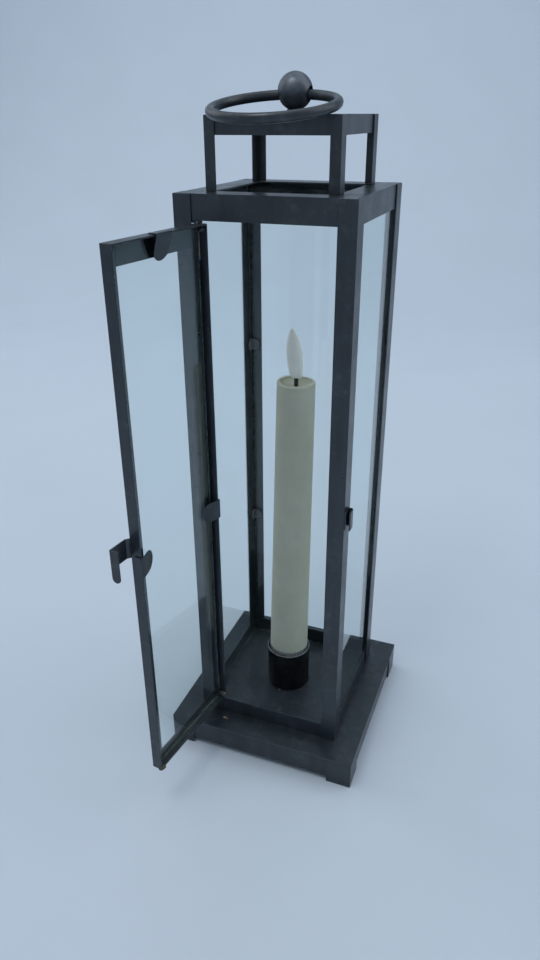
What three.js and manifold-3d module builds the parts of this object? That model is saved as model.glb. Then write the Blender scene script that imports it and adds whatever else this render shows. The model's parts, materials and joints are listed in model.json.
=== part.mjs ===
// Candle lantern: a folded pan base on four corner feet, angle posts with glass between them,
// a glazed door on pins, a crown with a ball and a carrying ring, and an electric taper candle
// that stands in a cup.
// Millimetres, +Z up. The origin is the centre of the base plate's underside.
// The door is at the front, towards -Y.
import * as THREE from "three";
import { mergeVertices } from "three/addons/utils/BufferGeometryUtils.js";
import Module from "manifold-3d";

const wasm = await Module();
wasm.setup();

// Driving dimensions
const SHEET = 0.8;
const TOUCH = 0.05; // left between parts that touch on the body
const DOOR_TOUCH = 0.2; // left between parts that touch in the turned groups: the door and the candle
const GLASS = 2;

const BASE_WIDTH = 130;
const BASE_THICKNESS = 1;
const SKIRT_INSET = 1;
const SKIRT_DROP = 15.2;
const FOOT_DROP = 19.2;
const FOOT_LEG = 16.5;

const BODY_WIDTH = 97.5;
const BODY_TOP = 342;
const POST_FRONT_LEG = 10; // seen from the front
const POST_SIDE_LEG = 12; // seen from the side
const RAIL_TOP = 12.2;
const BAND_HEIGHT = 13;
const VENT_HALF = 33;
const PANE_HALF = 44.4;
const PANE_TOP = 340.5;

const CROWN_HALF = 35.8;
const CROWN_TOP = 377.5;
const CROWN_FRONT_LEG = 5.7;
const CROWN_SIDE_LEG = 8.1;
const CAP_HEIGHT = 9.2;

const BALL_RADIUS = 9.1;
const BALL_HEIGHT = 388.2;
const BALL_BORE = 3.85; // centred on the ring's pivot
const WASHER_RADIUS = 4.2;
const SCREW_RADIUS = 2;
const SCREW_CLEARANCE = 0.1;
const SCREW_TIP = 381.8;
const SCREW_HEAD_RADIUS = 3.8;
const SCREW_HEAD_HEIGHT = 2.4;
const RING_RADIUS = 31;
const RING_BAR = 2.5;
const RING_PIVOT_Y = -0.5;
const RING_PIVOT_Z = 386.6;
const RING_TILT = 10.06; // degrees below level, where the ring lies on the crown's front edge

const DOOR_HALF = 37.85;
const DOOR_BOTTOM = 13.4;
const DOOR_TOP = 327.6;
const DOOR_FACE_LEG = 8; // in the plane of the door
const DOOR_TOP_LEG = 11.2; // of the top rail, in the plane of the door
const DOOR_EDGE_LEG = 6.6; // across the door's thickness
const DOOR_GLASS_HALF = 34.8;
const DOOR_GLASS_MARGIN = 1.1; // from the door's ends to the glass
const DOOR_OPEN = 98; // degrees from shut
const PIN_RADIUS = 0.9;
const PIN_INSET = 1.8; // from the door's face and from its hinge edge to the pins' axis
const PIN_LENGTH = 18;
const PIN_REACH = 1; // out of the door's end, through the lug
const LUG_GAP = 0.2;
const LUG_HOLE = 1.1;

const CLIP_SHEET = 0.6;
const CLIP_HEIGHT = 7.4;
const CLIP_REACH = 5.6;
const CLIP_HEIGHTS = { left: { low: 109, high: 239 }, right: { low: 113, high: 251 } };
const DOOR_CLIP_SHEET = 0.5;
const DOOR_CLIP_HEIGHT = 12.5;
const DOOR_CLIP_REACH = 13;
const DOOR_CLIP_SHOULDER = 1.5; // from the frame's outer face to where the tab turns down to the glass
const DOOR_CLIP_FOOT = 4.5; // along the frame's outer face
const DOOR_CLIP_LEVEL = 162;

const LATCH_BOTTOM = 166;
const LATCH_TOP = 177.7;
const LATCH_START = 30.3;
const LATCH_STAND = 2.3; // from the door's face to the middle of the strip, past the door's edge
const LATCH_END = 50.65; // middle of the turned end
const LATCH_TURN = 4.85; // length of the turned end
const TONGUE_TIP = 158;
const RIVET_X = 33.6;
const RIVET_RADIUS = 1.5;
const RIVET_HEAD_RADIUS = 2.8;
const CATCH_BOTTOM = 164.1;
const CATCH_TOP = 175.7;
const CATCH_FRONT = -48.5;
const CATCH_BACK = -43.4;
const CATCH_CURL = 1.375;

const CUP_X = -1.1;
const CUP_RADIUS = 15;
const CUP_WALL = 0.8;
const CUP_TOP = 32.2;
const CUP_BEAD = 0.5;
const CANDLE_X = -1.5; // the foot of the candle, which leans in its cup
const CANDLE_LEAN = 0.95; // degrees, towards +X
const CANDLE_FOOT_GAP = 0.4;
const CANDLE_TOP = 232.3;
const CANDLE_TOP_RADIUS = 11.85;
const CANDLE_FOOT_RADIUS = 13.3;
const CANDLE_BOTTOM = 34.2;
const CANDLE_BORE = 9.6;
const CANDLE_DISH = 2.6;
const CANDLE_ROOF = 2;
const BASE_CAP_RADIUS = 13.45;
const BASE_CAP_RIBS = 36;
const BASE_CAP_RIB = 0.45;
const PLUG_RADIUS = 9.4;
const PLUG_TOP = 38;
const CELL_RADIUS = 7;
const CELL_LENGTH = 49;
const CELL_NUB_RADIUS = 2.6;
const CELL_NUB = 1.2;
const LED_RADIUS = 2.5;
const LED_HOLDER_RADIUS = 8.6;
const WICK_RADIUS = 1.3;
const WICK_TOP = 234.9;
const FLAME_TIP = 265.2;
const FLAME_HALF_WIDTH = 5;
const FLAME_WIDEST = 0.4; // part of the way up
const FLAME_FOOT = 0.75; // width at the foot, as part of the widest
const FLAME_FLATNESS = 0.72;
const FLAME_LEAN = -3.4;

// Places worked out from the driving dimensions
const FLOOR = BASE_THICKNESS;
const BODY_HALF = BODY_WIDTH / 2;
const POST_INNER = BODY_HALF - SHEET; // inner faces of the posts' legs
const BAND_OUTER = POST_INNER - TOUCH;
const BAND_INNER = BAND_OUTER - SHEET;
const PANE_OUTER = BAND_INNER - 2 * TOUCH;
const PANE_INNER = PANE_OUTER - GLASS;
const BAND_BOTTOM = BODY_TOP - BAND_HEIGHT;
const CAP_HALF = CROWN_HALF - SHEET - TOUCH;
const DOOR_FACE = -BODY_HALF;
const DOOR_FACE_INNER = DOOR_FACE + SHEET;
const DOOR_EDGE_INNER = DOOR_HALF - SHEET;
const DOOR_GLASS_FRONT = DOOR_FACE_INNER + DOOR_TOUCH;
const DOOR_GLASS_BACK = DOOR_GLASS_FRONT + GLASS;
const DOOR_BACK = DOOR_FACE + DOOR_EDGE_LEG;
const PIN_X = -DOOR_HALF + PIN_INSET;
const PIN_Y = DOOR_FACE + PIN_INSET;
const LATCH_MIDDLE = (LATCH_BOTTOM + LATCH_TOP) / 2;
const CUP_FLOOR = FLOOR + TOUCH + CUP_WALL;
const LOWER_CELL = PLUG_TOP + DOOR_TOUCH;
const UPPER_CELL = LOWER_CELL + CELL_LENGTH + CELL_NUB + DOOR_TOUCH;

const ROUND = 28; // sides of round parts
const SMALL_ROUND = 16;
const PAST = 2; // how far a cutting tool runs past what it cuts

// Materials
const metal = new THREE.MeshStandardMaterial({ color: 0x434a52, roughness: 0.45, metalness: 0.7 });
const steel = new THREE.MeshStandardMaterial({ color: 0x8b9096, roughness: 0.35, metalness: 1 });
const black = new THREE.MeshStandardMaterial({ color: 0x0d0e10, roughness: 0.5, metalness: 0.2 });
const glass = new THREE.MeshStandardMaterial({
  color: 0xdff0ee, roughness: 0.05, metalness: 0, transparent: true, opacity: 0.25,
});
const wax = new THREE.MeshStandardMaterial({ color: 0xe9e6d2, roughness: 0.55, metalness: 0 });
const clear = new THREE.MeshStandardMaterial({ color: 0xd3d6d2, roughness: 0.3, metalness: 0 });
const plastic = new THREE.MeshStandardMaterial({ color: 0xb9b8ae, roughness: 0.5, metalness: 0 });

// Geometry helpers
function solid(geometry) {
  const bare = geometry.clone();
  bare.deleteAttribute("normal");
  bare.deleteAttribute("uv");
  const merged = mergeVertices(bare, 1e-4);
  return new wasm.Manifold(
    new wasm.Mesh({
      numProp: 3,
      vertProperties: merged.attributes.position.array,
      triVerts: new Uint32Array(merged.index.array),
    }),
  );
}

function geometryOf(manifold) {
  const mesh = manifold.getMesh();
  const geometry = new THREE.BufferGeometry();
  geometry.setAttribute("position", new THREE.BufferAttribute(mesh.vertProperties, 3));
  geometry.setIndex(new THREE.BufferAttribute(mesh.triVerts, 1));
  geometry.computeVertexNormals();
  return geometry;
}

function join(...geometries) {
  return geometryOf(geometries.map(solid).reduce((whole, piece) => whole.add(piece)));
}

function cut(geometry, ...tools) {
  return geometryOf(tools.map(solid).reduce((whole, tool) => whole.subtract(tool), solid(geometry)));
}

function common(a, b) {
  return geometryOf(solid(a).intersect(solid(b)));
}

function box(x0, x1, y0, y1, z0, z1) {
  const geometry = new THREE.BoxGeometry(x1 - x0, y1 - y0, z1 - z0);
  return geometry.translate((x0 + x1) / 2, (y0 + y1) / 2, (z0 + z1) / 2);
}

function square(half, z0, z1) {
  return box(-half, half, -half, half, z0, z1);
}

// An outline in the XY plane, raised from z0 to z1.
function prism(points, z0, z1) {
  const shape = new THREE.Shape(points.map(([x, y]) => new THREE.Vector2(x, y)));
  return new THREE.ExtrudeGeometry(shape, { depth: z1 - z0, bevelEnabled: false }).translate(0, 0, z0);
}

// An outline in the YZ plane, drawn out from x0 to x1.
function prismAlongX(points, x0, x1) {
  return prism(points, x0, x1).rotateZ(Math.PI / 2).rotateY(Math.PI / 2);
}

// An outline in the XZ plane, drawn out from y0 to y1.
function prismAlongY(points, y0, y1) {
  return prism(points, -y1, -y0).rotateX(Math.PI / 2);
}

// A profile of [radius, height] points, turned round Z. It starts and ends on the Z axis,
// or closes on itself.
function turned(profile, sides) {
  const points = profile.map(([r, z]) => new THREE.Vector2(r, z));
  return new THREE.LatheGeometry(points, sides).rotateX(Math.PI / 2);
}

function cylinder(radius, z0, z1, sides) {
  return turned([[0, z0], [radius, z0], [radius, z1], [0, z1]], sides);
}

function arc(x, y, radius, from, to, steps) {
  return Array.from({ length: steps + 1 }, (_, i) => {
    const angle = from + ((to - from) * i) / steps;
    return [x + radius * Math.cos(angle), y + radius * Math.sin(angle)];
  });
}

// The outline of a bent strip whose middle line runs through the points.
function ribbon(points, thickness) {
  const line = points.map(([x, y]) => new THREE.Vector2(x, y));
  const side = (sign) =>
    line.map((point, i) => {
      const before = i > 0 ? point.clone().sub(line[i - 1]).normalize() : null;
      const after = i < line.length - 1 ? line[i + 1].clone().sub(point).normalize() : null;
      const along = (before ?? after).clone().add(after ?? before).normalize();
      const across = new THREE.Vector2(-along.y, along.x);
      const straight = before ?? after;
      const stretch = 1 / across.dot(new THREE.Vector2(-straight.y, straight.x));
      return point.clone().addScaledVector(across, (sign * stretch * thickness) / 2).toArray();
    });
  return [...side(-1), ...side(1).reverse()];
}

// The outline of an angle bar in the +X +Y corner, its legs pointing back towards the axis.
function angleOutline(x, y, legX, legY, sheet) {
  return [
    [x, y],
    [x - legX, y],
    [x - legX, y - sheet],
    [x - sheet, y - sheet],
    [x - sheet, y - legY],
    [x, y - legY],
  ];
}

// The outline of a flat tab from the line at 0 to a half-round end at reach.
function tabOutline(reach, height) {
  const half = height / 2;
  return [[0, -half], ...arc(reach - half, 0, half, -Math.PI / 2, Math.PI / 2, 12), [0, half]];
}

const lantern = new THREE.Group();
const hinge = new THREE.Group();
hinge.position.set(PIN_X, PIN_Y, 0);
hinge.rotation.z = THREE.MathUtils.degToRad(-DOOR_OPEN);
const door = new THREE.Group(); // holds the door's parts where they are when it's shut
door.position.set(-PIN_X, -PIN_Y, 0);
hinge.add(door);
lantern.add(hinge);

function add(group, name, geometry, material) {
  const mesh = new THREE.Mesh(geometry, material);
  mesh.name = name;
  group.add(mesh);
  return mesh;
}

// Adds a part made for the +X +Y corner at each of the four corners.
function addAtCorners(name, geometry, material) {
  for (const [depth, signY] of [["front", -1], ["rear", 1]]) {
    for (const [side, signX] of [["left", -1], ["right", 1]]) {
      add(lantern, name + "_" + depth + "_" + side, geometry, material).scale.set(signX, signY, 1);
    }
  }
}

// Adds a part made for the +X side, and its mirror image at -X.
function addPair(group, names, geometry, material) {
  add(group, names[0], geometry, material).scale.x = -1;
  add(group, names[1], geometry, material);
}

// Base: a plate with skirts folded down just inside its edges, and an angle foot outside each corner
function basePlate() {
  const outer = BASE_WIDTH / 2 - SKIRT_INSET;
  const skirts = square(outer, -SKIRT_DROP, BASE_THICKNESS / 2);
  const hollow = square(outer - SHEET, -SKIRT_DROP - PAST, 0);
  return cut(join(square(BASE_WIDTH / 2, 0, FLOOR), skirts), hollow);
}

function foot() {
  const outer = BASE_WIDTH / 2 - SKIRT_INSET + TOUCH + SHEET;
  return prism(angleOutline(outer, outer, FOOT_LEG, FOOT_LEG, SHEET), -FOOT_DROP, -TOUCH);
}

add(lantern, "base_plate", basePlate(), metal);
addAtCorners("foot", foot(), metal);

// Body: posts, low rails round the panes' feet, and the folded frame across the top
function post() {
  const outline = angleOutline(BODY_HALF, BODY_HALF, POST_FRONT_LEG, POST_SIDE_LEG, SHEET);
  return prism(outline, FLOOR + TOUCH, BODY_TOP);
}

function sideRail() {
  const half = BAND_INNER - 2 * TOUCH;
  return box(BAND_INNER, BAND_OUTER, -half, half, FLOOR + TOUCH, RAIL_TOP);
}

function endRail() {
  return box(-BAND_OUTER, BAND_OUTER, BAND_INNER, BAND_OUTER, FLOOR + TOUCH, RAIL_TOP);
}

function topFrame() {
  const inside = square(BAND_INNER, BAND_BOTTOM - PAST, BODY_TOP - SHEET);
  const vent = square(VENT_HALF, BAND_BOTTOM, BODY_TOP + PAST);
  return cut(square(BAND_OUTER, BAND_BOTTOM, BODY_TOP), inside, vent);
}

function sidePane() {
  return box(PANE_INNER, PANE_OUTER, -PANE_HALF, PANE_HALF, FLOOR + TOUCH, PANE_TOP);
}

addAtCorners("post", post(), metal);
addPair(lantern, ["rail_left", "rail_right"], sideRail(), metal);
add(lantern, "rail_rear", endRail(), metal);
add(lantern, "sill_front", endRail(), metal).scale.y = -1;
add(lantern, "top_frame", topFrame(), metal);
addPair(lantern, ["glass_left", "glass_right"], sidePane(), glass);
add(lantern, "glass_rear", sidePane(), glass).rotation.z = Math.PI / 2;

// Glass clips on the posts: rear ones hold two panes' edges, front ones hold a side pane's front edge
const CLIP_FACE = PANE_INNER - 2 * TOUCH; // the face of the tab that bears on the glass
const CLIP_BACK = CLIP_FACE - CLIP_SHEET;

function clipTabOutline() {
  return tabOutline(CLIP_REACH, CLIP_HEIGHT).map(([along, z]) => [CLIP_FACE - along, z]).reverse();
}

function sideTab() {
  return prismAlongX(clipTabOutline(), CLIP_BACK, CLIP_FACE);
}

function clipStrip(line) {
  return prism(ribbon(line, CLIP_SHEET), -CLIP_HEIGHT / 2, CLIP_HEIGHT / 2);
}

function rearClip() {
  const endTab = prismAlongY(clipTabOutline(), CLIP_BACK, CLIP_FACE);
  const inner = CLIP_FACE - CLIP_SHEET / 2;
  const outer = POST_INNER - CLIP_SHEET / 2;
  return join(sideTab(), endTab, clipStrip([[inner, inner], [outer, outer]]));
}

function frontClip() {
  const inner = CLIP_FACE - CLIP_SHEET / 2;
  const outer = BAND_OUTER - CLIP_SHEET / 2;
  const behindPost = [BODY_HALF - POST_FRONT_LEG + 1, outer];
  return join(sideTab(), clipStrip([behindPost, [inner, outer], [inner, inner - 1]]));
}

for (const [side, sign] of [["left", -1], ["right", 1]]) {
  for (const [level, height] of Object.entries(CLIP_HEIGHTS[side])) {
    const rear = add(lantern, "glass_clip_rear_" + side + "_" + level, rearClip(), metal);
    rear.scale.x = sign;
    rear.position.z = height;
    const front = add(lantern, "glass_clip_front_" + side + "_" + level, frontClip(), metal);
    front.scale.set(sign, -1, 1);
    front.position.z = height;
  }
}

// Hinge lugs: a holed tab above the door and another below it, fixed to the front left post
function hingeLug(z) {
  const behindPost = box(-BAND_OUTER, PIN_X, -BAND_OUTER, -PANE_HALF - 4 * TOUCH, z, z + SHEET);
  const roundPin = cylinder(PIN_INSET + SHEET, z, z + SHEET, ROUND).translate(PIN_X, PIN_Y, 0);
  const hole = cylinder(LUG_HOLE, z - PAST, z + SHEET + PAST, SMALL_ROUND).translate(PIN_X, PIN_Y, 0);
  const pane = box(-PANE_OUTER - TOUCH, 0, -PANE_HALF - 4 * TOUCH, 0, z - PAST, z + PAST);
  const ahead = box(-BODY_HALF - PAST, 0, -BODY_HALF - PAST, -BAND_OUTER, z - PAST, z + PAST);
  const behind = cut(join(behindPost, roundPin), pane);
  return cut(behind, ahead, hole);
}

add(lantern, "hinge_lug_top", hingeLug(DOOR_TOP + LUG_GAP), metal);
add(lantern, "hinge_lug_bottom", hingeLug(DOOR_BOTTOM - LUG_GAP - SHEET), metal);

// Latch catch: a strip doubled round into a channel, open at the front and the top, on the front right post
function latchCatch() {
  const x = BODY_HALF + TOUCH + SHEET / 2;
  const curl = arc(x + CATCH_CURL, CATCH_BACK, CATCH_CURL, Math.PI, 0, 8);
  const line = [[x, CATCH_FRONT], ...curl, [x + 2 * CATCH_CURL, CATCH_FRONT]];
  return prism(ribbon(line, SHEET), CATCH_BOTTOM, CATCH_TOP);
}

add(lantern, "latch_catch", latchCatch(), metal);

// Crown: four angle posts under a cap that is folded down at its edges
function crownPost() {
  const outline = angleOutline(CROWN_HALF, CROWN_HALF, CROWN_FRONT_LEG, CROWN_SIDE_LEG, SHEET);
  return prism(outline, BODY_TOP + TOUCH, CROWN_TOP);
}

function crownCap() {
  const inside = square(CAP_HALF - SHEET, CROWN_TOP - CAP_HEIGHT - PAST, CROWN_TOP - SHEET);
  const hole = cylinder(SCREW_RADIUS + SCREW_CLEARANCE, CROWN_TOP - PAST, CROWN_TOP + PAST, ROUND);
  return cut(square(CAP_HALF, CROWN_TOP - CAP_HEIGHT, CROWN_TOP), inside, hole);
}

addAtCorners("crown_post", crownPost(), metal);
add(lantern, "crown_cap", crownCap(), metal);

// Ball, the dished washer it sits on, and the screw that holds both to the cap
function ballUnderside(radius) {
  return BALL_HEIGHT - Math.sqrt(BALL_RADIUS ** 2 - radius ** 2);
}

function ballWasher() {
  const hole = SCREW_RADIUS + SCREW_CLEARANCE;
  const bottom = CROWN_TOP + TOUCH;
  return turned([
    [hole, bottom],
    [WASHER_RADIUS, bottom],
    [WASHER_RADIUS, ballUnderside(WASHER_RADIUS) - 3 * TOUCH],
    [hole, ballUnderside(hole) - 3 * TOUCH],
    [hole, bottom],
  ], ROUND);
}

function ballKnob() {
  const ball = new THREE.SphereGeometry(BALL_RADIUS, 40, 24);
  ball.rotateX(Math.PI / 2).translate(0, 0, BALL_HEIGHT);
  const bore = cylinder(BALL_BORE, -BALL_RADIUS - PAST, BALL_RADIUS + PAST, ROUND);
  bore.rotateY(Math.PI / 2).translate(0, RING_PIVOT_Y, RING_PIVOT_Z);
  const socket = cylinder(SCREW_RADIUS + SCREW_CLEARANCE, CROWN_TOP, SCREW_TIP + SCREW_CLEARANCE, ROUND);
  return cut(ball, bore, socket);
}

function ballScrew() {
  const seat = CROWN_TOP - SHEET - TOUCH;
  return turned([
    [0, seat - SCREW_HEAD_HEIGHT],
    [SCREW_HEAD_RADIUS * 0.6, seat - SCREW_HEAD_HEIGHT],
    [SCREW_HEAD_RADIUS, seat - SCREW_HEAD_HEIGHT / 2],
    [SCREW_HEAD_RADIUS, seat],
    [SCREW_RADIUS, seat],
    [SCREW_RADIUS, SCREW_TIP - 0.6],
    [SCREW_RADIUS - 0.6, SCREW_TIP],
    [0, SCREW_TIP],
  ], ROUND);
}

function ringHandle() {
  return new THREE.TorusGeometry(RING_RADIUS, RING_BAR, 12, 72).translate(0, -RING_RADIUS, 0);
}

add(lantern, "ball_washer", ballWasher(), metal);
add(lantern, "ball_knob", ballKnob(), metal);
add(lantern, "ball_screw", ballScrew(), steel);
const ring = add(lantern, "ring_handle", ringHandle(), metal);
ring.position.set(0, RING_PIVOT_Y, RING_PIVOT_Z);
ring.rotation.x = THREE.MathUtils.degToRad(RING_TILT);

// Door: an angle frame round a pane, with round-ended clips over the glass
function rivetAxis(geometry) {
  return geometry.rotateX(Math.PI / 2).translate(RIVET_X, 0, LATCH_MIDDLE);
}

function rivetHole() {
  return rivetAxis(cylinder(RIVET_RADIUS + DOOR_TOUCH, 0, BODY_WIDTH, SMALL_ROUND));
}

function doorStile() {
  const outline = angleOutline(DOOR_HALF, -DOOR_FACE, DOOR_FACE_LEG, DOOR_EDGE_LEG, SHEET);
  return prism(outline.map(([x, y]) => [x, -y]).reverse(), DOOR_BOTTOM, DOOR_TOP);
}

// A rail at the door's top: a strip between the stiles' faces, folded back along the door's end.
function doorRail(leg) {
  const stripHalf = DOOR_HALF - DOOR_FACE_LEG - DOOR_TOUCH;
  const foldHalf = DOOR_EDGE_INNER - DOOR_TOUCH;
  const fold = DOOR_TOP - SHEET;
  const strip = box(-stripHalf, stripHalf, DOOR_FACE, DOOR_FACE_INNER, DOOR_TOP - leg, DOOR_TOP);
  const bend = box(-stripHalf, stripHalf, DOOR_FACE, DOOR_BACK, fold, DOOR_TOP);
  const flange = box(-foldHalf, foldHalf, DOOR_GLASS_FRONT, DOOR_BACK, fold, DOOR_TOP);
  const pinHole = cylinder(PIN_RADIUS + 2 * DOOR_TOUCH, fold - PAST, DOOR_TOP + PAST, SMALL_ROUND);
  return cut(join(strip, bend, flange), pinHole.translate(PIN_X, PIN_Y, 0));
}

function doorGlass() {
  const half = DOOR_GLASS_HALF;
  return box(-half, half, DOOR_GLASS_FRONT, DOOR_GLASS_BACK, DOOR_BOTTOM + DOOR_GLASS_MARGIN,
    DOOR_TOP - DOOR_GLASS_MARGIN);
}

// A strap that starts on the frame's outer face at x = 0, turns over the fold's rim and reaches
// down to the glass in a half-round tab, towards -X.
function doorClip() {
  const half = DOOR_CLIP_SHEET / 2;
  const outside = DOOR_TOUCH / 2 + half;
  const rim = DOOR_BACK + DOOR_TOUCH + half;
  const onGlass = DOOR_GLASS_BACK + 2 * DOOR_TOUCH + half;
  const strap = prism(ribbon([
    [outside, rim - DOOR_CLIP_FOOT],
    [outside, rim],
    [-DOOR_CLIP_SHOULDER, rim],
    [-DOOR_CLIP_REACH, onGlass],
  ], DOOR_CLIP_SHEET), -DOOR_CLIP_HEIGHT / 2, DOOR_CLIP_HEIGHT / 2);
  const tab = tabOutline(DOOR_CLIP_REACH + PAST, DOOR_CLIP_HEIGHT).map(([x, z]) => [PAST - x, z]);
  return common(strap, prismAlongY(tab.reverse(), DOOR_FACE, 0));
}

function hingePin() {
  const pin = cylinder(PIN_RADIUS, DOOR_TOP - PIN_LENGTH, DOOR_TOP + PIN_REACH, SMALL_ROUND);
  return pin.translate(PIN_X, PIN_Y, 0);
}

const stile = doorStile();
add(door, "door_stile_hinge", stile, metal).scale.x = -1;
add(door, "door_stile_free", cut(stile, rivetHole()), metal);
add(door, "door_rail_top", doorRail(DOOR_TOP_LEG), metal);
const railBottom = add(door, "door_rail_bottom", doorRail(DOOR_FACE_LEG), metal);
railBottom.scale.z = -1;
railBottom.position.z = DOOR_TOP + DOOR_BOTTOM;
add(door, "door_glass", doorGlass(), glass);
add(door, "hinge_pin_top", hingePin(), steel);
const pinBottom = add(door, "hinge_pin_bottom", hingePin(), steel);
pinBottom.scale.z = -1;
pinBottom.position.z = DOOR_TOP + DOOR_BOTTOM;

const clipOnStile = doorClip().translate(DOOR_HALF, 0, DOOR_CLIP_LEVEL);
addPair(door, ["door_clip_hinge", "door_clip_free"], clipOnStile, metal);
add(door, "door_clip_top", doorClip().rotateY(-Math.PI / 2), metal).position.z = DOOR_TOP;

// Latch: a strip riveted to the free stile. It stands clear of the post, and its end is turned back,
// with a tongue below
function latchStrip() {
  const onDoor = DOOR_FACE - DOOR_TOUCH - SHEET / 2;
  const clearOfPost = DOOR_FACE - LATCH_STAND;
  const strip = prism(ribbon([
    [LATCH_START, onDoor],
    [DOOR_HALF - 1, onDoor],
    [DOOR_HALF + 1, clearOfPost],
    [LATCH_END, clearOfPost],
    [LATCH_END, clearOfPost + LATCH_TURN],
  ], SHEET), LATCH_BOTTOM, LATCH_TOP);
  const front = clearOfPost - SHEET / 2;
  const back = clearOfPost + LATCH_TURN;
  const half = (back - front) / 2;
  const tip = arc((front + back) / 2, TONGUE_TIP + half, half, Math.PI, 2 * Math.PI, 12);
  const tongue = [...tip, [back, LATCH_BOTTOM + 1], [front, LATCH_BOTTOM + 1]];
  const blade = prismAlongX(tongue, LATCH_END - SHEET / 2, LATCH_END + SHEET / 2);
  return cut(join(strip, blade), rivetHole());
}

function latchRivet() {
  const headUnder = -(DOOR_FACE - 2 * DOOR_TOUCH - SHEET);
  return rivetAxis(turned([
    [0, -DOOR_FACE_INNER],
    [RIVET_RADIUS, -DOOR_FACE_INNER],
    [RIVET_RADIUS, headUnder],
    [RIVET_HEAD_RADIUS, headUnder],
    [RIVET_HEAD_RADIUS * 0.9, headUnder + 0.5],
    [RIVET_HEAD_RADIUS * 0.5, headUnder + 1],
    [0, headUnder + 1.15],
  ], SMALL_ROUND));
}

add(door, "latch_strip", latchStrip(), metal);
add(door, "latch_rivet", latchRivet(), steel);

// Cup, and the candle that stands in it
function candleCup() {
  const inner = CUP_RADIUS - CUP_WALL;
  const bead = arc(inner + CUP_BEAD, CUP_TOP - CUP_BEAD, CUP_BEAD, -Math.PI / 3, Math.PI, 10);
  return turned([
    [0, FLOOR + TOUCH],
    [CUP_RADIUS - 1, FLOOR + TOUCH],
    [CUP_RADIUS, FLOOR + TOUCH + 1],
    [CUP_RADIUS, CUP_TOP - 2.2 * CUP_BEAD],
    ...bead,
    [inner, CUP_FLOOR],
    [0, CUP_FLOOR],
  ], ROUND * 2);
}

// The wax sleeve: tapered, open below, with a dished top and a hole for the wick
function candleShell() {
  const dish = CANDLE_TOP - CANDLE_DISH;
  const roof = dish - CANDLE_ROOF;
  const hole = WICK_RADIUS + TOUCH;
  return turned([
    [CANDLE_BORE, CANDLE_BOTTOM],
    [CANDLE_FOOT_RADIUS, CANDLE_BOTTOM],
    [CANDLE_TOP_RADIUS, CANDLE_TOP - 0.6],
    [CANDLE_TOP_RADIUS - 0.6, CANDLE_TOP],
    [CANDLE_TOP_RADIUS - 1.6, CANDLE_TOP - 0.3],
    [CANDLE_TOP_RADIUS - 4, dish + 0.8],
    [CANDLE_TOP_RADIUS - 7, dish + 0.1],
    [hole, dish],
    [hole, roof],
    [CANDLE_BORE, roof],
    [CANDLE_BORE, CANDLE_BOTTOM],
  ], ROUND * 2);
}

// The ribbed base cap that stands in the cup and closes the sleeve from below
function candleBaseCap() {
  const bottom = CUP_FLOOR + CANDLE_FOOT_GAP;
  const rib = (2 * Math.PI) / BASE_CAP_RIBS;
  const outline = Array.from({ length: BASE_CAP_RIBS * 4 }, (_, i) => {
    const radius = BASE_CAP_RADIUS - (i % 4 < 2 ? 0 : BASE_CAP_RIB);
    const angle = (i * rib) / 4;
    return [radius * Math.cos(angle), radius * Math.sin(angle)];
  });
  const grip = prism(outline, bottom, CANDLE_BOTTOM - TOUCH);
  return join(grip, cylinder(PLUG_RADIUS, CANDLE_BOTTOM - 1, PLUG_TOP, ROUND));
}

function batteryCell() {
  return turned([
    [0, 0],
    [CELL_RADIUS, 0],
    [CELL_RADIUS, CELL_LENGTH],
    [CELL_NUB_RADIUS, CELL_LENGTH],
    [CELL_NUB_RADIUS, CELL_LENGTH + CELL_NUB],
    [0, CELL_LENGTH + CELL_NUB],
  ], ROUND);
}

function ledLamp() {
  const top = CANDLE_TOP - CANDLE_DISH - CANDLE_ROOF - TOUCH;
  const board = top - 12;
  return turned([
    [0, board],
    [LED_HOLDER_RADIUS, board],
    [LED_HOLDER_RADIUS, board + 3],
    [LED_RADIUS + 0.4, board + 3],
    [LED_RADIUS + 0.4, board + 4.5],
    [LED_RADIUS, board + 4.5],
    [LED_RADIUS, top - 2.4],
    [LED_RADIUS * 0.8, top - 1],
    [LED_RADIUS * 0.4, top - 0.2],
    [0, top],
  ], ROUND);
}

function wick() {
  return cylinder(WICK_RADIUS, CANDLE_TOP - CANDLE_DISH - CANDLE_ROOF + TOUCH, WICK_TOP, SMALL_ROUND);
}

// A flat leaf shape, widest below its middle, that leans over to one side
function flame() {
  const steps = 18;
  const foot = WICK_TOP + TOUCH;
  const height = FLAME_TIP - foot;
  const profile = Array.from({ length: steps + 1 }, (_, i) => {
    const t = i / steps;
    const above = Math.max(0, (t - FLAME_WIDEST) / (1 - FLAME_WIDEST));
    const below = Math.max(0, (FLAME_WIDEST - t) / FLAME_WIDEST);
    const width = Math.max(0, 1 - above ** 2) ** 0.75 * (1 - (1 - FLAME_FOOT) * below ** 2);
    return [i === steps ? 0 : FLAME_HALF_WIDTH * width, t * height];
  });
  const leaf = turned([[0, 0], [profile[0][0] * 0.8, 0], [profile[0][0], 0.6], ...profile.slice(1)], ROUND);
  const position = leaf.getAttribute("position");
  for (let i = 0; i < position.count; i += 1) {
    const z = position.getZ(i);
    const lean = FLAME_LEAN * (z / height);
    position.setXYZ(i, position.getX(i) + lean, position.getY(i) * FLAME_FLATNESS, z + foot);
  }
  return leaf;
}

const candle = new THREE.Group();
candle.position.x = CANDLE_X;
candle.rotation.y = THREE.MathUtils.degToRad(CANDLE_LEAN);
lantern.add(candle);

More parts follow.
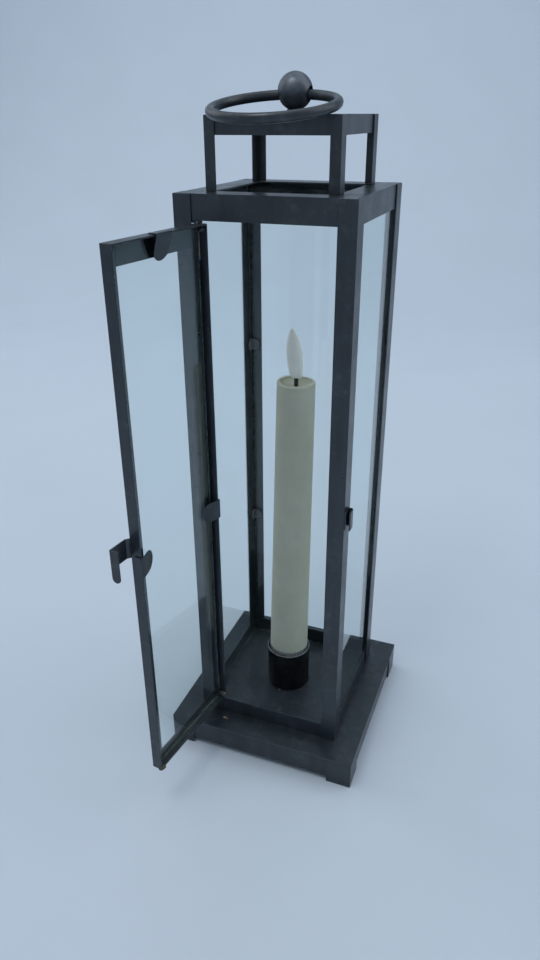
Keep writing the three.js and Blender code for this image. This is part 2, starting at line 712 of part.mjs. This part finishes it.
add(lantern, "candle_cup", candleCup(), black).position.x = CUP_X;
add(candle, "candle_shell", candleShell(), wax);
add(candle, "candle_base_cap", candleBaseCap(), plastic);
add(candle, "battery_lower", batteryCell(), steel).position.z = LOWER_CELL;
add(candle, "battery_upper", batteryCell(), steel).position.z = UPPER_CELL;
add(candle, "led_lamp", ledLamp(), clear);
add(candle, "candle_wick", wick(), black);
add(candle, "candle_flame", flame(), clear);

export default lantern;
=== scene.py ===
"""Candle lantern: materials, small details, floor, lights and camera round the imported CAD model."""

import json
import math
import random
from typing import NamedTuple

import bmesh
import bpy
from mathutils import Matrix, Vector


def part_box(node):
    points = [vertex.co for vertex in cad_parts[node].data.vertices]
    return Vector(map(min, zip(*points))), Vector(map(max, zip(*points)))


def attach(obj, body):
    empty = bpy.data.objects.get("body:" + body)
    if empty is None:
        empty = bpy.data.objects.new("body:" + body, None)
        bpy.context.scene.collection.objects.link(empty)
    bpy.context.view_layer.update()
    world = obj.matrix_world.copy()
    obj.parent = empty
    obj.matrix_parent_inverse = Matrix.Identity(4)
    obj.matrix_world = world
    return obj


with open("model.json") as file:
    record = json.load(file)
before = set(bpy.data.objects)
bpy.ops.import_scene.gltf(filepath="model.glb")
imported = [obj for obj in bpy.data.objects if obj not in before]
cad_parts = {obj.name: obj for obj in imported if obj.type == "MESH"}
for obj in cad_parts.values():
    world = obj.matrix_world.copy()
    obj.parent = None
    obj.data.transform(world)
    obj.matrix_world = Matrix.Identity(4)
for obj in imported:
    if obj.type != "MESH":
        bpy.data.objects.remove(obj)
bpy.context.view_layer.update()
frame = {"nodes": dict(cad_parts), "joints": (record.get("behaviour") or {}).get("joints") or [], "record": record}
nodes = frame["nodes"]

MM = 0.001

# Camera, in metres and degrees
CAMERA_PLACE = Vector((0.14033, -0.40385, 0.3772))
CAMERA_YAW = 21.04
CAMERA_PITCH = 26.37
CAMERA_ROLL = -0.3
CAMERA_LENS = 27.62
SENSOR = 36

# Surroundings, in metres and watts
FLOOR_COLOUR = (0.60, 0.67, 0.75, 1)
FLOOR_TINT = 1.03
SKY_COLOUR = (0.58, 0.68, 0.80, 1)
SKY_STRENGTH = 0.56
SWEEP_NEAR = -3
SWEEP_START = 1.1
SWEEP_RADIUS = 0.9
SWEEP_HEIGHT = 3
SWEEP_HALF = 4
SWEEP_STEPS = 24
CLIP_START = 0.01


class Lamp(NamedTuple):
    name: str
    place: tuple
    target: tuple
    size: tuple
    power: float
    colour: tuple


LAMPS = (
    Lamp("window_right", (1.3, 0.5, 1.1), (0, 0, 0.15), (1.2, 1.2), 4.5, (0.97, 0.99, 1)),
    Lamp("window_left", (-1.3, 0.2, 1.1), (0, 0, 0.15), (1.2, 1.2), 4, (0.97, 0.99, 1)),
    Lamp("wall_wash", (-0.287, 0.747, 1.2), (-0.68, 1.77, 0.3), (2, 0.6), 2.9, (0.95, 0.975, 1)),
    Lamp("ceiling", (0.1, 0.3, 2.2), (0, 0.2, 0), (2.4, 2.4), 11, (0.93, 0.97, 1)),
    Lamp("ball_glint", (-0.2, -0.45, 1.2), (0, 0, 0.38), (0.4, 0.4), 2.2, (0.97, 0.99, 1)),
)

# Edges of the CAD nodes
EDGE_ROUND = 0.3 * MM
EDGE_SEGMENTS = 2
WELD_GAP = 0.01 * MM
SMOOTH_ANGLE = 30
GLASS_EDGE_LIMIT = 0.5
RIM_DEPTH = 1.5 * MM

# Lumps of solder: how unevenly they swell
LUMP_DETAIL = 3
LUMP_WAVES = 4
LUMP_SWELL = 0.07
WAVE_PITCH = 2.2
WAVE_START = 6.3

# The pressed mark on the front right post, in millimetres
MARK_PLACE = (43.6, -48.75, 334.5)
MARK_RADIUS = 1.1
MARK_BAR = 0.25
MARK_FLATNESS = 0.45
MARK_STEPS = 32
MARK_SIDES = 8

# The melted lip of the candle, in millimetres and degrees
CANDLE_X = -1.5
CANDLE_LEAN = 0.95
WAX_RADIUS = 10.6
WAX_SINK = 0.75
WAX_THICKNESS = 0.75
WAX_SWELL = 0.45
WAX_RISE = 1.1
WAX_SAG = 0.35
WAX_FLATNESS = 0.8
WAX_STEPS = 72
WAX_SIDES = 10

# Bare chips in the coat of the base: x, y, z and size in millimetres
CHIPS = (
    (-28.5, -54.5, 1, 1.25),
    (-26.6, -54.9, 1, 0.6),
    (-24, -12, 1, 0.35),
    (12, -34, 1, 0.3),
    (-33, 8, 1, 0.3),
    (26, -20, 1, 0.35),
)
CHIP_NARROWNESS = 0.7
CHIP_HEIGHT = 0.12
CHIP_SEED = 101


# ---------------------------------------------------------------- material helpers
class Material:
    """A node material with the few kinds of node that this scene uses."""

    def __init__(self, name):
        self.material = bpy.data.materials.new(name)
        self.material.use_nodes = True
        self.tree = self.material.node_tree
        self.tree.nodes.clear()
        self.output = self.add("ShaderNodeOutputMaterial")
        self.shader = self.add("ShaderNodeBsdfPrincipled")
        self.link(self.shader.outputs[0], self.output.inputs["Surface"])
        self.place = self.add("ShaderNodeTexCoord").outputs["Object"]

    def add(self, kind, **values):
        node = self.tree.nodes.new(kind)
        for key, value in values.items():
            setattr(node, key, value)
        return node

    def link(self, source, target):
        self.tree.links.new(source, target)

    def set(self, **values):
        for key, value in values.items():
            self.shader.inputs[key.replace("_", " ")].default_value = value

    def stretched(self, scale):
        mapping = self.add("ShaderNodeMapping")
        mapping.inputs["Scale"].default_value = scale
        self.link(self.place, mapping.inputs["Vector"])
        return mapping.outputs[0]

    def noise(self, scale, detail=4, rough=0.55, place=None):
        node = self.add("ShaderNodeTexNoise")
        node.inputs["Scale"].default_value = scale
        node.inputs["Detail"].default_value = detail
        node.inputs["Roughness"].default_value = rough
        self.link(place or self.place, node.inputs["Vector"])
        return node.outputs["Fac"]

    def spots(self, scale):
        node = self.add("ShaderNodeTexVoronoi")
        node.inputs["Scale"].default_value = scale
        self.link(self.place, node.inputs["Vector"])
        return node.outputs["Distance"]

    def ramp(self, source, *stops):
        node = self.add("ShaderNodeValToRGB")
        elements = node.color_ramp.elements
        while len(elements) < len(stops):
            elements.new(0.5)
        for element, (at, colour) in zip(elements, stops):
            element.position = at
            element.color = colour if len(colour) == 4 else (*colour, 1)
        self.link(source, node.inputs[0])
        return node.outputs[0]

    def grey(self, source, *stops):
        return self.ramp(source, *[(at, (value, value, value)) for at, value in stops])

    def feed(self, socket, value):
        """Links another node's output to a socket, or sets the socket to a constant."""
        if isinstance(value, bpy.types.NodeSocket):
            self.link(value, socket)
        else:
            socket.default_value = value

    def mix(self, amount, a, b):
        node = self.add("ShaderNodeMix", data_type="RGBA")
        factor, first, second = node.inputs[0], node.inputs[6], node.inputs[7]
        for socket, value in ((factor, amount), (first, a), (second, b)):
            self.feed(socket, value)
        return node.outputs[2]

    def combine(self, operation, a, b):
        node = self.add("ShaderNodeMath", operation=operation)
        for socket, value in zip(node.inputs, (a, b)):
            self.feed(socket, value)
        return node.outputs[0]

    def colour(self, source):
        self.link(source, self.shader.inputs["Base Color"])

    def rough(self, source):
        self.link(source, self.shader.inputs["Roughness"])

    def bump(self, height, strength, distance):
        node = self.add("ShaderNodeBump")
        node.inputs["Strength"].default_value = strength
        node.inputs["Distance"].default_value = distance
        self.link(height, node.inputs["Height"])
        self.link(node.outputs[0], self.shader.inputs["Normal"])


# ---------------------------------------------------------------- materials
def coated_metal():
    """Satin gunmetal powder coat: fine orange peel, faint cloudy tone, dusty smears and a few bare specks."""
    m = Material("coated_metal")
    cloud = m.ramp(m.noise(22, 5), (0.3, (0.015, 0.021, 0.028)), (0.7, (0.026, 0.035, 0.045)))
    streaks = m.grey(m.noise(30, 4, place=m.stretched((6, 6, 0.5))), (0.4, 0), (0.75, 0.3))
    toned = m.mix(streaks, cloud, (0.05, 0.064, 0.079, 1))
    dust = m.grey(m.noise(110, 8, 0.75), (0.53, 0), (0.74, 0.34))
    dusty = m.mix(dust, toned, (0.14, 0.155, 0.165, 1))
    specks = m.grey(m.spots(190), (0.03, 1), (0.055, 0))
    rare = m.grey(m.noise(45, 2), (0.61, 0), (0.65, 1))
    chips = m.combine("MULTIPLY", specks, rare)
    m.colour(m.mix(chips, dusty, (0.20, 0.19, 0.175, 1)))
    m.rough(m.grey(m.noise(60, 6), (0.3, 0.27), (0.7, 0.4)))
    grain = m.combine("ADD", m.noise(1500, 3), m.combine("MULTIPLY", m.noise(220, 3), 0.8))
    m.bump(grain, 0.6, 0.00008)
    m.set(Metallic=0.3, Specular_IOR_Level=0.75)
    return m.material


def rubbed_metal():
    """The ball: the coat is rubbed by hands to a brighter, cloudy sheen."""
    m = Material("rubbed_metal")
    cloud = m.ramp(m.noise(150, 5, 0.6), (0.35, (0.085, 0.1, 0.118)), (0.7, (0.15, 0.17, 0.195)))
    pits = m.grey(m.spots(700), (0.08, 1), (0.2, 0))
    m.colour(m.mix(pits, cloud, (0.05, 0.058, 0.068, 1)))
    m.rough(m.grey(m.noise(260, 5), (0.3, 0.33), (0.7, 0.5)))
    m.bump(m.combine("ADD", m.noise(1200, 4), m.noise(200, 3)), 0.4, 0.00008)
    m.set(Metallic=0.75)
    return m.material


def clip_metal():
    """Thin pale grey clips with a dull sheen."""
    m = Material("clip_metal")
    m.colour(m.ramp(m.noise(300, 4), (0.35, (0.11, 0.125, 0.135)), (0.7, (0.19, 0.21, 0.225))))
    m.rough(m.grey(m.noise(350, 3), (0.3, 0.35), (0.7, 0.5)))
    m.bump(m.noise(1400, 3), 0.3, 0.00005)
    m.set(Metallic=0.4)
    return m.material


def chipped_metal():
    """Where the coat has come off: dull, slightly rusty steel."""
    m = Material("chipped_metal")
    m.colour(m.ramp(m.noise(900, 4), (0.35, (0.16, 0.075, 0.045)), (0.65, (0.40, 0.31, 0.25))))
    m.rough(m.grey(m.noise(700, 3), (0.3, 0.6), (0.7, 0.8)))
    m.bump(m.noise(2500, 3), 0.4, 0.00005)
    m.set(Metallic=0.2)
    return m.material


def solder_metal():
    """Lumpy solder under the same coat."""
    m = Material("solder_metal")
    m.colour(m.ramp(m.noise(260, 4), (0.35, (0.03, 0.037, 0.045)), (0.7, (0.085, 0.093, 0.1))))
    m.rough(m.grey(m.noise(300, 3), (0.3, 0.34), (0.7, 0.58)))
    m.bump(m.noise(700, 4), 0.6, 0.00015)
    m.set(Metallic=0.5)
    return m.material


def old_solder():
    """Solder lumps at the door's foot, where the coat is thin: dull brown-green metal."""
    m = Material("old_solder")
    m.colour(m.ramp(m.noise(600, 4), (0.35, (0.035, 0.036, 0.028)), (0.7, (0.15, 0.14, 0.095))))
    m.rough(m.grey(m.noise(400, 3), (0.3, 0.4), (0.7, 0.65)))
    m.bump(m.noise(900, 4), 0.6, 0.00015)
    m.set(Metallic=0.5)
    return m.material


def bare_steel():
    m = Material("bare_steel")
    m.colour(m.ramp(m.noise(180, 5), (0.3, (0.20, 0.205, 0.21)), (0.7, (0.36, 0.36, 0.35))))
    m.rough(m.grey(m.noise(400, 4), (0.3, 0.3), (0.7, 0.5)))
    m.bump(m.noise(1800, 3), 0.25, 0.00004)
    m.set(Metallic=1)
    return m.material


def black_coat():
    """The cup: black coat with fine grain. Its rim's lighter grey is a painted highlight, given in rim_of_cup."""
    m = Material("cup_metal")
    m.colour(m.ramp(m.noise(160, 6, 0.65), (0.45, (0.004, 0.0045, 0.0055)), (0.78, (0.02, 0.022, 0.025))))
    m.rough(m.grey(m.noise(240, 5), (0.3, 0.3), (0.7, 0.52)))
    m.bump(m.noise(1300, 4), 0.4, 0.00006)
    m.set(Metallic=0.4)
    return m.material


def rim_highlight_metal():
    """The cup's rim: lighter grey metal, painted on as a highlight along the top of the rim."""
    m = Material("rim_highlight_metal")
    # painted highlight: this lighter grey stands in for the bright line of light along the rim's top
    m.colour(m.ramp(m.noise(300, 5), (0.35, (0.09, 0.10, 0.11)), (0.7, (0.26, 0.28, 0.30))))
    m.rough(m.grey(m.noise(420, 4), (0.3, 0.25), (0.7, 0.42)))
    m.bump(m.noise(1500, 3), 0.2, 0.00004)
    m.set(Metallic=0.7)
    return m.material


def pane_glass(name, tint, smears):
    """Clear sheet glass. Light passes straight through it to the metal and the candle behind."""
    m = Material(name)
    m.set(Base_Color=tint, Transmission_Weight=1, IOR=1.45, Roughness=0)
    haze = m.grey(m.noise(35, 6, 0.62), (0.45, 0), (0.8, smears))
    m.rough(haze)
    m.bump(m.noise(9, 2), 0.05, 0.0004)
    see_through = m.add("ShaderNodeBsdfTransparent")
    see_through.inputs[0].default_value = (0.93, 0.97, 0.965, 1)
    light_path = m.add("ShaderNodeLightPath")
    mixer = m.add("ShaderNodeMixShader")
    m.link(light_path.outputs["Is Shadow Ray"], mixer.inputs[0])
    m.link(m.shader.outputs[0], mixer.inputs[1])
    m.link(see_through.outputs[0], mixer.inputs[2])
    m.link(mixer.outputs[0], m.output.inputs["Surface"])
    return m.material


def glass_edge():
    """Cut edge of the panes: dark bottle green with brighter frosted runs."""
    m = Material("glass_edge")
    m.colour(m.ramp(m.noise(90, 5, 0.65), (0.45, (0.018, 0.042, 0.037)), (0.8, (0.13, 0.22, 0.20))))
    m.rough(m.grey(m.noise(500, 3), (0.3, 0.12), (0.7, 0.4)))
    m.bump(m.noise(900, 3), 0.3, 0.00008)
    m.set(Transmission_Weight=0.2, IOR=1.45)
    return m.material


def candle_wax():
    """Ivory wax skin: soft light inside, faint mottling and a few darker vertical streaks of painted shade."""
    m = Material("candle_wax")
    mottled = m.ramp(m.noise(38, 6, 0.6), (0.3, (0.46, 0.475, 0.385)), (0.72, (0.55, 0.565, 0.47)))
    # painted shade: vertically stretched noise darkens streaks of the wax towards (0.34, 0.36, 0.30), standing in
    # for uneven shading down the candle
    painted_shade_streaks = m.grey(m.noise(90, 7, 0.7, m.stretched((1, 1, 0.35))), (0.6, 0), (0.78, 0.3))
    m.colour(m.mix(painted_shade_streaks, mottled, (0.34, 0.36, 0.30, 1)))
    m.rough(m.grey(m.noise(120, 4), (0.3, 0.42), (0.7, 0.6)))
    m.bump(m.combine("ADD", m.noise(420, 4), m.noise(60, 3)), 0.2, 0.0002)
    m.set(Subsurface_Weight=0.3, Subsurface_Scale=0.004, Subsurface_Radius=(1, 0.8, 0.5), IOR=1.44)
    return m.material


def frosted(name, low, high, transmission, rough_low, rough_high):
    """Moulded translucent plastic with a light frosting."""
    m = Material(name)
    m.colour(m.ramp(m.noise(150, 4), (0.3, low), (0.7, high)))
    m.rough(m.grey(m.noise(260, 4), (0.3, rough_low), (0.7, rough_high)))
    m.bump(m.noise(700, 3), 0.15, 0.0001)
    m.set(Transmission_Weight=transmission, IOR=1.46)
    return m.material


def plain_plastic(name, low, high):
    m = Material(name)
    m.colour(m.ramp(m.noise(200, 5), (0.3, low), (0.7, high)))
    m.rough(m.grey(m.noise(350, 3), (0.3, 0.4), (0.7, 0.6)))
    m.bump(m.noise(1200, 3), 0.3, 0.00005)
    return m.material


def pale_floor():
    m = Material("pale_floor")
    lighter = tuple(c * FLOOR_TINT for c in FLOOR_COLOUR[:3])
    m.colour(m.ramp(m.noise(6, 3), (0.3, FLOOR_COLOUR), (0.7, lighter)))
    m.rough(m.grey(m.noise(20, 2), (0.3, 0.7), (0.7, 0.8)))
    return m.material


MATERIALS = {
    "coated_metal": coated_metal(),
    "rubbed_metal": rubbed_metal(),
    "chipped_metal": chipped_metal(),
    "clip_metal": clip_metal(),
    "solder": solder_metal(),
    "old_solder": old_solder(),
    "bare_steel": bare_steel(),
    "cup_metal": black_coat(),
    "rim_highlight_metal": rim_highlight_metal(),
    "pane_glass": pane_glass("pane_glass", (0.88, 0.945, 0.94, 1), 0.06),
    "glass_edge": glass_edge(),
    "candle_wax": candle_wax(),
    "flame_plastic": frosted("flame_plastic", (0.84, 0.87, 0.80), (0.92, 0.94, 0.88), 0, 0.3, 0.45),
    "lamp_plastic": frosted("lamp_plastic", (0.7, 0.68, 0.6), (0.82, 0.8, 0.72), 0.5, 0.1, 0.25),
    "wick_plastic": plain_plastic("wick_plastic", (0.008, 0.008, 0.009), (0.03, 0.03, 0.03)),
    "cap_plastic": plain_plastic("cap_plastic", (0.15, 0.16, 0.165), (0.27, 0.285, 0.29)),
    "cell_case": plain_plastic("cell_case", (0.10, 0.11, 0.12), (0.2, 0.2, 0.21)),
}
SLOT_OF_NODE = {s["node"]: s["material_slot"] for s in frame["record"]["subparts"]}


# ---------------------------------------------------------------- carried-over CAD nodes
def soften(obj, width):
    """Rounds the sharp edges a little and shades the round faces smoothly, without changing the mesh."""
    for polygon in obj.data.polygons:
        polygon.use_smooth = True
    weld = obj.modifiers.new("weld", "WELD")
    weld.merge_threshold = WELD_GAP
    bevel = obj.modifiers.new("edge_round", "BEVEL")
    bevel.width = width
    bevel.segments = EDGE_SEGMENTS
    bevel.limit_method = "ANGLE"
    bevel.angle_limit = math.radians(SMOOTH_ANGLE)
    bevel.use_clamp_overlap = True
    normals = obj.modifiers.new("normals", "WEIGHTED_NORMAL")
    normals.keep_sharp = True


def pane_normal(mesh):
    widest = max(mesh.polygons, key=lambda polygon: polygon.area)
    return widest.normal.copy()


def mark_glass_edges(obj):
    """Gives the narrow faces round a pane the ground-edge material."""
    obj.data.materials.append(MATERIALS["glass_edge"])
    across = pane_normal(obj.data)
    for polygon in obj.data.polygons:
        if abs(polygon.normal.dot(across)) < GLASS_EDGE_LIMIT:
            polygon.material_index = 1


def finish_nodes():
    for name, obj in nodes.items():
        slot = SLOT_OF_NODE[name]
        obj.data.materials.clear()
        obj.data.materials.append(MATERIALS[slot])
        for polygon in obj.data.polygons:
            polygon.material_index = 0
        if slot == "pane_glass":
            mark_glass_edges(obj)
        else:
            soften(obj, EDGE_ROUND)


def rim_of_cup():
    """The rolled rim carries a painted highlight: the cup's top faces get the lighter rim material."""
    cup = nodes["candle_cup"]
    cup.data.materials.append(MATERIALS["rim_highlight_metal"])
    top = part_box("candle_cup")[1].z
    for polygon in cup.data.polygons:
        if polygon.center.z > top - RIM_DEPTH:
            polygon.material_index = 1


def rub_ball():
    ball = nodes["ball_knob"]
    ball.data.materials[0] = MATERIALS["rubbed_metal"]


def pale_rear_clips():
    """The rear glass clips are a paler metal than the posts."""
    for name, clip in nodes.items():
        if name.startswith("glass_clip_rear"):
            clip.data.materials[0] = MATERIALS["clip_metal"]


finish_nodes()
rim_of_cup()
rub_ball()
pale_rear_clips()


# ---------------------------------------------------------------- details
def new_piece(name, mesh, body, material):
    piece = bpy.data.objects.new(name, mesh)
    bpy.context.scene.collection.objects.link(piece)
    mesh.materials.append(MATERIALS[material])
    for polygon in mesh.polygons:
        polygon.use_smooth = True
    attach(piece, body)
    return piece


def blob(centre, size, seed):
    """A flattened lump of solder: a fine sphere, pressed to size and unevenly swollen."""
    shape = bmesh.new()
    bmesh.ops.create_icosphere(shape, subdivisions=LUMP_DETAIL, radius=1)
    rng = random.Random(seed)
    waves = []
    for _ in range(LUMP_WAVES):
        direction = Vector([rng.uniform(-WAVE_PITCH, WAVE_PITCH) for _ in range(3)])
        waves.append((direction, rng.uniform(0, WAVE_START)))
    for vertex in shape.verts:
        height = sum(math.sin(direction.dot(vertex.co) + start) for direction, start in waves)
        swell = 1 + LUMP_SWELL * height
        vertex.co = Vector(a * b for a, b in zip(vertex.co * swell, size))
        vertex.co += centre
    return shape


def blobs_mesh(name, blobs):
    mesh = bpy.data.meshes.new(name)
    whole = bmesh.new()
    for part in blobs:
        piece = bpy.data.meshes.new("part")
        part.to_mesh(piece)
        part.free()
        whole.from_mesh(piece)
        bpy.data.meshes.remove(piece)
    whole.to_mesh(mesh)
    whole.free()
    return mesh


def turned_to_door(point):
    """Where a point of the shut door is at rest, with the door open."""
    hinge = next(joint for joint in frame["joints"] if joint["name"] == "door_hinge")
    pivot = Vector(hinge["pos_m"])
    pivot.z = 0
    turn = Matrix.Rotation(-math.radians(hinge["range_deg"][1]), 3, "Z")
    return turn @ (Vector(point) - pivot) + pivot


class Solder(NamedTuple):
    """Lumps on one body, in millimetres. Places on the door are those of the shut door."""

    name: str
    body: str
    places: list
    size: tuple
    seed: int
    material: str = "solder"


def four_corners(half, height):
    return [(side * half, end * half, height) for side in (-1, 1) for end in (-1, 1)]


CUP_X = -1.1
CUP_RADIUS = 15
CUP_ANGLES = (0.4, 2.5, 4.6)
CUP_PLACES = [
    (CUP_X + CUP_RADIUS * math.cos(a), CUP_RADIUS * math.sin(a), 1.1) for a in CUP_ANGLES
]
DOOR_CORNERS = [(side * 35.8, -44.4, height) for side in (-1, 1) for height in (16, 325)]
DOOR_FOOT = [(37.2, -42.6, 14.2), (35.4, -42.4, 14)]
LUG_PLACES = [(-46.6, -47.2, height) for height in (13.6, 327.4)]
CATCH_PLACES = [(49.1, -42.2, height) for height in (164.3, 175.5)]

SOLDERED = (
    Solder("solder_door_corners", "door", DOOR_CORNERS, (1.6, 1.7, 1.6), 11),
    Solder("solder_door_foot", "door", DOOR_FOOT, (1.7, 1.3, 1.7), 31, "old_solder"),
    Solder("solder_door_hinge_foot", "door", [(-35.6, -42.8, 15.4)], (1.9, 1.5, 2.1), 35, "old_solder"),
    Solder("solder_latch", "door", [(37.5, -49.2, 171.8)], (0.5, 0.4, 4.2), 41),
    Solder("solder_lugs", "body", LUG_PLACES, (1.1, 0.6, 0.8), 51),
    Solder("solder_catch", "body", CATCH_PLACES, (0.4, 1.1, 0.7), 61),
    Solder("solder_cup", "body", CUP_PLACES, (1.2, 1.2, 0.5), 71),
    Solder("solder_crown", "body", four_corners(34.6, 342.1), (1.1, 1.1, 0.6), 81),
    Solder("solder_top_corners", "body", four_corners(46.6, 330), (0.9, 0.9, 1.6), 91),
)


def add_solder(lumps):
    shapes = []
    for number, place in enumerate(lumps.places):
        centre = Vector(place) * MM
        if lumps.body == "door":
            centre = turned_to_door(centre)
        shapes.append(blob(centre, [side * MM for side in lumps.size], lumps.seed + number))
    mesh = blobs_mesh(lumps.name, shapes)
    return new_piece(lumps.name, mesh, lumps.body, lumps.material)


for group in SOLDERED:
    add_solder(group)


def pressed_ring(name, centre, normal, radius, bar):
    """The raised lip round a small pressed mark in the sheet."""
    bpy.ops.mesh.primitive_torus_add(
        major_radius=radius, minor_radius=bar, major_segments=MARK_STEPS, minor_segments=MARK_SIDES
    )
    made = bpy.context.object
    mesh = made.data
    turn = Vector(normal).to_track_quat("Z", "Y").to_matrix().to_4x4()
    squash = Matrix.Diagonal((1, 1, MARK_FLATNESS, 1))
    mesh.transform(Matrix.Translation(centre) @ turn @ squash)
    bpy.data.objects.remove(made)
    return new_piece(name, mesh, "body", "coated_metal")


pressed_ring("post_mark", Vector(MARK_PLACE) * MM, (0, -1, 0), MARK_RADIUS * MM, MARK_BAR * MM)



def wax_swell(around):
    """How far the lip is swollen at an angle: two broad crests with finer ripples on them."""
    crests = 0.34 * math.cos(2 * around)
    ripples = 0.12 * math.sin(5 * around + 2)
    fine = 0.05 * math.sin(11 * around)
    return 0.5 + crests + ripples + fine


def wax_rim():
    """The uneven, melted lip round the candle's top, thicker and higher in places."""
    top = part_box("candle_shell")[1].z
    lean = math.radians(CANDLE_LEAN)
    centre = Vector((CANDLE_X * MM + top * math.sin(lean), 0, top - WAX_SINK * MM))
    tilt = Matrix.Rotation(lean, 3, "Y")
    shape = bmesh.new()
    rings = []
    for step in range(WAX_STEPS):
        around = 2 * math.pi * step / WAX_STEPS
        swell = wax_swell(around)
        thick = (WAX_THICKNESS + WAX_SWELL * swell) * MM
        lift = (WAX_RISE * swell - WAX_SAG) * MM
        ring = []
        for side in range(WAX_SIDES):
            turn = 2 * math.pi * side / WAX_SIDES
            out = WAX_RADIUS * MM + thick * math.cos(turn)
            height = lift + thick * WAX_FLATNESS * math.sin(turn)
            spot = Vector((out * math.cos(around), out * math.sin(around), height))
            ring.append(shape.verts.new(tilt @ spot + centre))
        rings.append(ring)
    for near, far in zip(rings, rings[1:] + rings[:1]):
        for side in range(WAX_SIDES):
            after = (side + 1) % WAX_SIDES
            shape.faces.new((near[side], far[side], far[after], near[after]))
    mesh = bpy.data.meshes.new("wax_rim")
    shape.to_mesh(mesh)
    shape.free()
    return new_piece("wax_rim", mesh, "candle", "candle_wax")


def add_chips(name):
    """Small bare patches in the coat of the base."""
    shapes = []
    for number, (x, y, z, size) in enumerate(CHIPS):
        spread = (size * MM, CHIP_NARROWNESS * size * MM, CHIP_HEIGHT * MM)
        shapes.append(blob(Vector((x, y, z)) * MM, spread, CHIP_SEED + number))
    return new_piece(name, blobs_mesh(name, shapes), "body", "chipped_metal")


wax_rim()
add_chips("chips_on_base")


# ---------------------------------------------------------------- floor, lights and camera
def add_floor():
    """A pale sheet that lies flat under the lantern and curves up behind it."""
    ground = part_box("foot_front_left")[0].z
    profile = [(SWEEP_NEAR, 0), (SWEEP_START, 0)]
    for step in range(1, SWEEP_STEPS + 1):
        turn = math.pi / 2 * step / SWEEP_STEPS
        across = SWEEP_START + SWEEP_RADIUS * math.sin(turn)
        profile.append((across, SWEEP_RADIUS * (1 - math.cos(turn))))
    profile.append((SWEEP_START + SWEEP_RADIUS, SWEEP_HEIGHT))
    shape = bmesh.new()
    sides = (-SWEEP_HALF, SWEEP_HALF)
    rows = [[shape.verts.new((side, y, z + ground)) for side in sides] for y, z in profile]
    for near, far in zip(rows, rows[1:]):
        shape.faces.new((near[0], near[1], far[1], far[0])).smooth = True
    mesh = bpy.data.meshes.new("floor")
    shape.to_mesh(mesh)
    shape.free()
    mesh.materials.append(pale_floor())
    floor = bpy.data.objects.new("floor", mesh)
    floor.rotation_euler.z = math.radians(CAMERA_YAW)
    bpy.context.scene.collection.objects.link(floor)


def add_sky():
    world = bpy.data.worlds.new("studio")
    bpy.context.scene.world = world
    world.use_nodes = True
    background = world.node_tree.nodes["Background"]
    background.inputs["Color"].default_value = SKY_COLOUR
    background.inputs["Strength"].default_value = SKY_STRENGTH


def add_light(lamp):
    light = bpy.data.lights.new(lamp.name, "AREA")
    light.shape = "RECTANGLE"
    light.size, light.size_y = lamp.size
    light.energy = lamp.power
    light.color = lamp.colour
    holder = bpy.data.objects.new(lamp.name, light)
    holder.location = lamp.place
    aim = Vector(lamp.target) - Vector(lamp.place)
    holder.rotation_euler = aim.to_track_quat("-Z", "Y").to_euler()
    bpy.context.scene.collection.objects.link(holder)


def add_camera():
    yaw, pitch, roll = (math.radians(a) for a in (CAMERA_YAW, CAMERA_PITCH, CAMERA_ROLL))
    ahead = Vector((-math.sin(yaw) * math.cos(pitch), math.cos(yaw) * math.cos(pitch), -math.sin(pitch)))
    level = Vector((math.cos(yaw), math.sin(yaw), 0))
    upright = level.cross(ahead)
    right = level * math.cos(roll) + upright * math.sin(roll)
    up = upright * math.cos(roll) - level * math.sin(roll)
    data = bpy.data.cameras.new("camera")
    data.sensor_fit = "VERTICAL"
    data.sensor_width = SENSOR
    data.sensor_height = SENSOR
    data.lens = CAMERA_LENS
    data.clip_start = CLIP_START
    camera = bpy.data.objects.new("camera", data)
    turn = Matrix((right, up, -ahead)).transposed().to_4x4()
    camera.matrix_world = Matrix.Translation(CAMERA_PLACE) @ turn
    bpy.context.scene.collection.objects.link(camera)
    bpy.context.scene.camera = camera


add_floor()
add_sky()
for lamp in LAMPS:
    add_light(lamp)
add_camera()
bpy.context.scene.view_settings.view_transform = "Standard"
